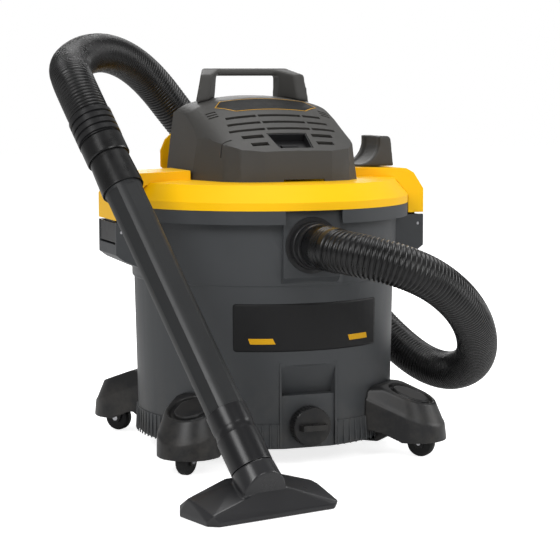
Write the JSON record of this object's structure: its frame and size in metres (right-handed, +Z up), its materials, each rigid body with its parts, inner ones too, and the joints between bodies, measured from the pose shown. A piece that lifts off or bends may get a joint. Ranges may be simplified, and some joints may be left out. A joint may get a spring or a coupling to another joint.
{
  "type": "shop vacuum",
  "caption": "Wet and dry shop vacuum: round drum on castor feet, lift-off motor head with handle, ribbed hose, wand and floor nozzle.",
  "frame": {"origin": "on the floor under the drum's axis", "axes": "+Z up, -Y to the front where the hose plugs in, +X to the right seen from the front"},
  "size_m": [0.6939, 0.8235, 0.6561],
  "materials": {
    "drum_grey": "fine moulded texture",
    "lid_yellow": "semi-gloss moulded",
    "cover_grey": "fine moulded texture",
    "foot_black": "moulded satin",
    "hose_black": "glossy ribbed",
    "wand_black": "satin moulded",
    "castor_black": "moulded",
    "wheel_black": "hard tread",
    "steel": "zinc plated",
    "lamination": "stacked sheet",
    "fan_alloy": "pressed",
    "seal_rubber": "matt",
    "switch_face": "gloss",
    "filter_paper": "pleated"
  },
  "bodies": {
    "drum": {"drum": "drum_grey", "latch_pins": "steel", "inlet_port": "foot_black", "inlet_deflector": "foot_black", "drain_spout": "foot_black", "foot_screws": "steel", "hose": "hose_black", "hose_inlet_cuff": "hose_black", "hose_boot": "hose_black", "hose_collar": "hose_black", "wand_cuff": "hose_black", "wand": "wand_black", "wand_coupler": "wand_black", "floor_nozzle": "wand_black", "foot_front_left": "foot_black", "foot_front_right": "foot_black", "foot_rear_right": "foot_black", "foot_rear_left": "foot_black"},
    "power_head": {"lid": "lid_yellow", "lid_seal": "seal_rubber", "motor_cover": "cover_grey", "cover_screws": "steel", "vent_grille": "cover_grey", "switch_bezel": "foot_black", "handle": "cover_grey", "rear_flange": "lid_yellow", "blower_port": "foot_black", "cord_gland": "seal_rubber", "accessory_cradle": "cover_grey", "fan_housing": "cover_grey", "motor_frame": "cover_grey", "stator": "lamination", "motor_bearings": "steel", "filter_cage": "foot_black"},
    "rotor": {"motor_shaft": "steel", "armature": "lamination", "impeller": "fan_alloy"},
    "power_switch": {"power_switch": "switch_face"},
    "float": {"float_cup": "foot_black"},
    "filter": {"filter_cartridge": "filter_paper"},
    "filter_retainer": {"filter_retainer": "foot_black"},
    "latch_left": {"latch_left": "foot_black"},
    "latch_right": {"latch_right": "foot_black"},
    "drain_washer": {"drain_washer": "seal_rubber"},
    "drain_cap": {"drain_cap": "foot_black"},
    "castor_front_left": {"castor_fork_front_left": "castor_black", "castor_axle_front_left": "steel"},
    "wheel_front_left": {"castor_wheel_front_left": "wheel_black"},
    "castor_front_right": {"castor_fork_front_right": "castor_black", "castor_axle_front_right": "steel"},
    "wheel_front_right": {"castor_wheel_front_right": "wheel_black"},
    "castor_rear_right": {"castor_fork_rear_right": "castor_black", "castor_axle_rear_right": "steel"},
    "wheel_rear_right": {"castor_wheel_rear_right": "wheel_black"},
    "castor_rear_left": {"castor_fork_rear_left": "castor_black", "castor_axle_rear_left": "steel"},
    "wheel_rear_left": {"castor_wheel_rear_left": "wheel_black"}
  },
  "joints": [
    {"name": "lid_lift", "type": "slide", "parent": "drum", "child": "power_head", "axis": [0, 0, 1], "range_m": [0, 0.215]},
    {"name": "rotor_spin", "type": "hinge", "parent": "power_head", "child": "rotor", "pos_m": [0, 0, 0.48], "axis": [0, 0, 1], "continuous": true},
    {"name": "switch_rock", "type": "hinge", "parent": "power_head", "child": "power_switch", "pos_m": [0, -0.12202, 0.47204], "axis": [1, 0, 0], "range_deg": [0, 14]},
    {"name": "float_rise", "type": "slide", "parent": "power_head", "child": "float", "axis": [0, 0, 1], "range_m": [0, 0.14]},
    {"name": "filter_pull", "type": "slide", "parent": "power_head", "child": "filter", "axis": [0, 0, -1], "range_m": [0, 0.146]},
    {"name": "retainer_pull", "type": "slide", "parent": "filter", "child": "filter_retainer", "axis": [0, 0, -1], "range_m": [0, 0.02]},
    {"name": "latch_left_rock", "type": "hinge", "parent": "drum", "child": "latch_left", "pos_m": [-0.2465, 0, 0.35], "axis": [0, 1, 0], "range_deg": [0, 16]},
    {"name": "latch_right_rock", "type": "hinge", "parent": "drum", "child": "latch_right", "pos_m": [0.2465, 0, 0.35], "axis": [0, -1, 0], "range_deg": [0, 16]},
    {"name": "drain_washer_slide", "type": "slide", "parent": "drum", "child": "drain_washer", "axis": [0, -1, 0], "range_m": [0, 0.015]},
    {"name": "drain_cap_turn", "type": "hinge", "parent": "drain_washer", "child": "drain_cap", "pos_m": [0, -0.22, 0.063], "axis": [0, -1, 0], "range_deg": [0, 900]},
    {"name": "castor_swivel_front_left", "type": "hinge", "parent": "drum", "child": "castor_front_left", "pos_m": [-0.18243, -0.18243, 0.07], "axis": [0, 0, 1], "continuous": true},
    {"name": "wheel_roll_front_left", "type": "hinge", "parent": "castor_front_left", "child": "wheel_front_left", "pos_m": [-0.19021, -0.19021, 0.0215], "axis": [0.7071, -0.7071, 0], "continuous": true},
    {"name": "castor_swivel_front_right", "type": "hinge", "parent": "drum", "child": "castor_front_right", "pos_m": [0.18243, -0.18243, 0.07], "axis": [0, 0, 1], "continuous": true},
    {"name": "wheel_roll_front_right", "type": "hinge", "parent": "castor_front_right", "child": "wheel_front_right", "pos_m": [0.19021, -0.19021, 0.0215], "axis": [0.7071, 0.7071, 0], "continuous": true},
    {"name": "castor_swivel_rear_right", "type": "hinge", "parent": "drum", "child": "castor_rear_right", "pos_m": [0.18243, 0.18243, 0.07], "axis": [0, 0, 1], "continuous": true},
    {"name": "wheel_roll_rear_right", "type": "hinge", "parent": "castor_rear_right", "child": "wheel_rear_right", "pos_m": [0.19021, 0.19021, 0.0215], "axis": [-0.7071, 0.7071, 0], "continuous": true},
    {"name": "castor_swivel_rear_left", "type": "hinge", "parent": "drum", "child": "castor_rear_left", "pos_m": [-0.18243, 0.18243, 0.07], "axis": [0, 0, 1], "continuous": true},
    {"name": "wheel_roll_rear_left", "type": "hinge", "parent": "castor_rear_left", "child": "wheel_rear_left", "pos_m": [-0.19021, 0.19021, 0.0215], "axis": [-0.7071, -0.7071, 0], "continuous": true}
  ],
  "couplings": [
    {"joint": "drain_cap_turn", "follows": "drain_washer_slide", "rad_per_m": 1047.1}
  ]
}
